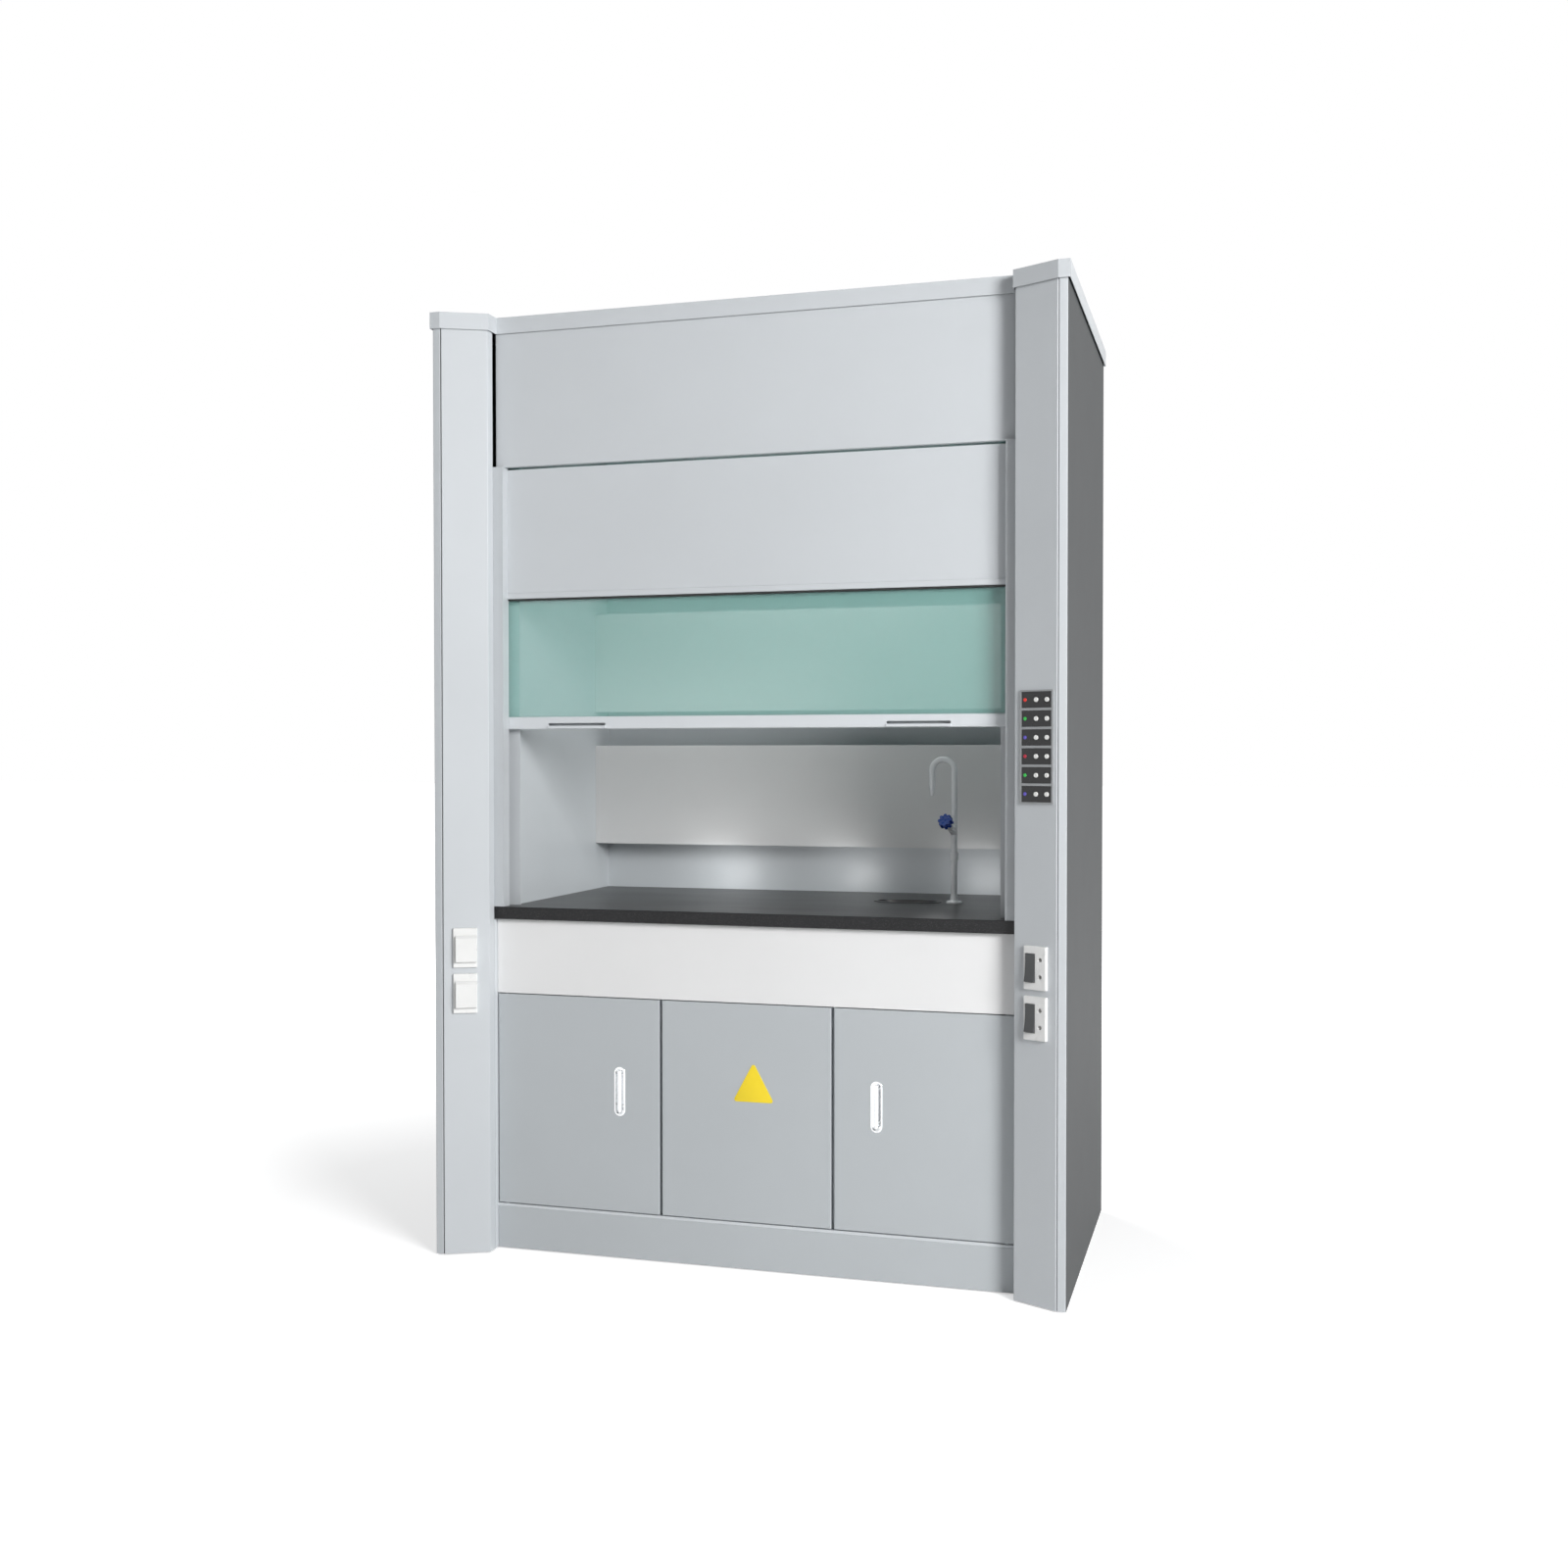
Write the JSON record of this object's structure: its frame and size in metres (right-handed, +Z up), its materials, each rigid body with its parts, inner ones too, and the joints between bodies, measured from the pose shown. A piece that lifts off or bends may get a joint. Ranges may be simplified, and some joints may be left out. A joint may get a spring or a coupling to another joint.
{
  "type": "fume hood",
  "caption": "Walk-up chemical fume hood with a counterbalanced glass sash, cup sink and gooseneck tap, switch panel, sockets and a cupboard below.",
  "frame": {"origin": "on the floor, under the centre of the whole outline seen from above", "axes": "+Z up, +X to the right seen from the front, the sash and doors face -Y"},
  "size_m": [1.51, 0.832, 2.332],
  "materials": {
    "casing_paint": "satin",
    "apron_paint": "satin",
    "door_paint": "satin",
    "carcass_paint": "satin",
    "track_aluminium": "satin",
    "rail_aluminium": "satin",
    "duct_plastic": "matte",
    "liner_board": "matte",
    "baffle_board": "matte",
    "lamp_cover": "satin",
    "lens": "gloss",
    "worktop_resin": "satin",
    "sink_plastic": "satin",
    "handle_chrome": "polished",
    "tap_enamel": "gloss",
    "knob_plastic": "gloss",
    "bezel_plastic": "satin",
    "module_plastic": "satin",
    "button_plastic": "satin",
    "socket_plastic": "satin",
    "rocker_plastic": "satin",
    "sash_glass": "gloss",
    "cable_steel": "satin",
    "pulley_steel": "satin",
    "bracket_steel": "satin",
    "weight_steel": "satin",
    "foot_steel": "satin"
  },
  "bodies": {
    "root": {"left_side_panel": "casing_paint", "right_side_panel": "casing_paint", "left_post": "casing_paint", "right_post": "casing_paint", "back_panel": "casing_paint", "roof_cap": "casing_paint", "front_fascia": "casing_paint", "lintel_panel": "casing_paint", "apron_panel": "apron_paint", "centre_panel": "door_paint", "plinth": "door_paint", "cabinet_carcass": "carcass_paint", "left_sash_track": "track_aluminium", "right_sash_track": "track_aluminium", "exhaust_collar": "duct_plastic", "left_liner": "liner_board", "right_liner": "liner_board", "rear_liner": "liner_board", "chamber_ceiling": "liner_board", "baffle_panels": "baffle_board", "baffle_standoffs": "baffle_board", "chamber_lamp": "lamp_cover", "indicator_lights": "lens", "worktop": "worktop_resin", "cup_sink": "sink_plastic", "tap_base": "tap_enamel", "control_panel": "bezel_plastic", "control_modules": "module_plastic", "socket_plates": "socket_plastic", "sash_cables": "cable_steel", "pulley_brackets": "bracket_steel", "weight_guides": "bracket_steel", "levelling_feet": "foot_steel"},
    "sash": {"sash_glass": "sash_glass", "sash_rail": "rail_aluminium"},
    "counterweight": {"counterweight": "weight_steel"},
    "front_pulley_shaft": {"front_pulley_shaft": "pulley_steel"},
    "rear_pulley_shaft": {"rear_pulley_shaft": "pulley_steel"},
    "left_door": {"left_door": "door_paint", "left_door_handle": "handle_chrome"},
    "right_door": {"right_door": "door_paint", "right_door_handle": "handle_chrome"},
    "tap_spout": {"tap_spout": "tap_enamel"},
    "tap_knob": {"tap_knob": "knob_plastic"},
    "left_upper_cover": {"left_upper_cover": "socket_plastic"},
    "left_lower_cover": {"left_lower_cover": "socket_plastic"},
    "upper_rocker": {"upper_rocker": "rocker_plastic"},
    "lower_rocker": {"lower_rocker": "rocker_plastic"},
    "start_button_1": {"start_button_1": "button_plastic"},
    "stop_button_1": {"stop_button_1": "button_plastic"},
    "start_button_2": {"start_button_2": "button_plastic"},
    "stop_button_2": {"stop_button_2": "button_plastic"},
    "start_button_3": {"start_button_3": "button_plastic"},
    "stop_button_3": {"stop_button_3": "button_plastic"},
    "start_button_4": {"start_button_4": "button_plastic"},
    "stop_button_4": {"stop_button_4": "button_plastic"},
    "start_button_5": {"start_button_5": "button_plastic"},
    "stop_button_5": {"stop_button_5": "button_plastic"},
    "start_button_6": {"start_button_6": "button_plastic"},
    "stop_button_6": {"stop_button_6": "button_plastic"}
  },
  "joints": [
    {"name": "sash_slide", "type": "slide", "parent": "root", "child": "sash", "axis": [0, 0, 1], "range_m": [-0.427, 0.2], "deforming": ["sash_cables"]},
    {"name": "counterweight_slide", "type": "slide", "parent": "root", "child": "counterweight", "axis": [0, 0, 1], "range_m": [-0.201, 0.428]},
    {"name": "front_shaft_turn", "type": "hinge", "parent": "root", "child": "front_pulley_shaft", "pos_m": [0, -0.265, 2.205], "axis": [1, 0, 0], "range_deg": [-414.3, 878.8]},
    {"name": "rear_shaft_turn", "type": "hinge", "parent": "root", "child": "rear_pulley_shaft", "pos_m": [0, 0.3685, 2.205], "axis": [1, 0, 0], "range_deg": [-414.3, 878.8]},
    {"name": "left_door_swing", "type": "hinge", "parent": "root", "child": "left_door", "pos_m": [-0.6085, -0.312, 0.36725], "axis": [0, 0, -1], "range_deg": [0, 100]},
    {"name": "right_door_swing", "type": "hinge", "parent": "root", "child": "right_door", "pos_m": [0.6085, -0.312, 0.36725], "axis": [0, 0, 1], "range_deg": [0, 100]},
    {"name": "tap_swivel", "type": "hinge", "parent": "root", "child": "tap_spout", "pos_m": [0.4215, 0.057, 0.96], "axis": [0, 0, 1], "range_deg": [-100, 100]},
    {"name": "tap_knob_turn", "type": "hinge", "parent": "tap_spout", "child": "tap_knob", "pos_m": [0.4092, 0.009, 1.037], "axis": [-0.2123, -0.8287, 0.5179], "range_deg": [0, 450]},
    {"name": "start_button_1_press", "type": "slide", "parent": "root", "child": "start_button_1", "axis": [0.4345, 0.9007, 0], "range_m": [0, 0.0015], "stiffness_N_per_m": 400, "springref_m": -0.001},
    {"name": "stop_button_1_press", "type": "slide", "parent": "root", "child": "stop_button_1", "axis": [0.4345, 0.9007, 0], "range_m": [0, 0.0015], "stiffness_N_per_m": 400, "springref_m": -0.001},
    {"name": "start_button_2_press", "type": "slide", "parent": "root", "child": "start_button_2", "axis": [0.4345, 0.9007, 0], "range_m": [0, 0.0015], "stiffness_N_per_m": 400, "springref_m": -0.001},
    {"name": "stop_button_2_press", "type": "slide", "parent": "root", "child": "stop_button_2", "axis": [0.4345, 0.9007, 0], "range_m": [0, 0.0015], "stiffness_N_per_m": 400, "springref_m": -0.001},
    {"name": "start_button_3_press", "type": "slide", "parent": "root", "child": "start_button_3", "axis": [0.4345, 0.9007, 0], "range_m": [0, 0.0015], "stiffness_N_per_m": 400, "springref_m": -0.001},
    {"name": "stop_button_3_press", "type": "slide", "parent": "root", "child": "stop_button_3", "axis": [0.4345, 0.9007, 0], "range_m": [0, 0.0015], "stiffness_N_per_m": 400, "springref_m": -0.001},
    {"name": "start_button_4_press", "type": "slide", "parent": "root", "child": "start_button_4", "axis": [0.4345, 0.9007, 0], "range_m": [0, 0.0015], "stiffness_N_per_m": 400, "springref_m": -0.001},
    {"name": "stop_button_4_press", "type": "slide", "parent": "root", "child": "stop_button_4", "axis": [0.4345, 0.9007, 0], "range_m": [0, 0.0015], "stiffness_N_per_m": 400, "springref_m": -0.001},
    {"name": "start_button_5_press", "type": "slide", "parent": "root", "child": "start_button_5", "axis": [0.4345, 0.9007, 0], "range_m": [0, 0.0015], "stiffness_N_per_m": 400, "springref_m": -0.001},
    {"name": "stop_button_5_press", "type": "slide", "parent": "root", "child": "stop_button_5", "axis": [0.4345, 0.9007, 0], "range_m": [0, 0.0015], "stiffness_N_per_m": 400, "springref_m": -0.001},
    {"name": "start_button_6_press", "type": "slide", "parent": "root", "child": "start_button_6", "axis": [0.4345, 0.9007, 0], "range_m": [0, 0.0015], "stiffness_N_per_m": 400, "springref_m": -0.001},
    {"name": "stop_button_6_press", "type": "slide", "parent": "root", "child": "stop_button_6", "axis": [0.4345, 0.9007, 0], "range_m": [0, 0.0015], "stiffness_N_per_m": 400, "springref_m": -0.001},
    {"name": "left_upper_cover_lift", "type": "hinge", "parent": "root", "child": "left_upper_cover", "pos_m": [-0.67459, -0.39704, 0.7648], "axis": [-0.9007, -0.4345, 0], "range_deg": [0, 120]},
    {"name": "left_lower_cover_lift", "type": "hinge", "parent": "root", "child": "left_lower_cover", "pos_m": [-0.67459, -0.39704, 0.6555], "axis": [-0.9007, -0.4345, 0], "range_deg": [0, 120]},
    {"name": "upper_rocker_tilt", "type": "hinge", "parent": "root", "child": "upper_rocker", "pos_m": [0.67064, -0.38681, 0.7383], "axis": [0.9007, -0.4345, 0], "range_deg": [0, 10]},
    {"name": "lower_rocker_tilt", "type": "hinge", "parent": "root", "child": "lower_rocker", "pos_m": [0.67064, -0.38681, 0.629], "axis": [0.9007, -0.4345, 0], "range_deg": [0, 10]}
  ],
  "couplings": [
    {"joint": "counterweight_slide", "follows": "sash_slide", "ratio": -1},
    {"joint": "front_shaft_turn", "follows": "sash_slide", "rad_per_m": -35.714},
    {"joint": "rear_shaft_turn", "follows": "sash_slide", "rad_per_m": -35.714}
  ]
}
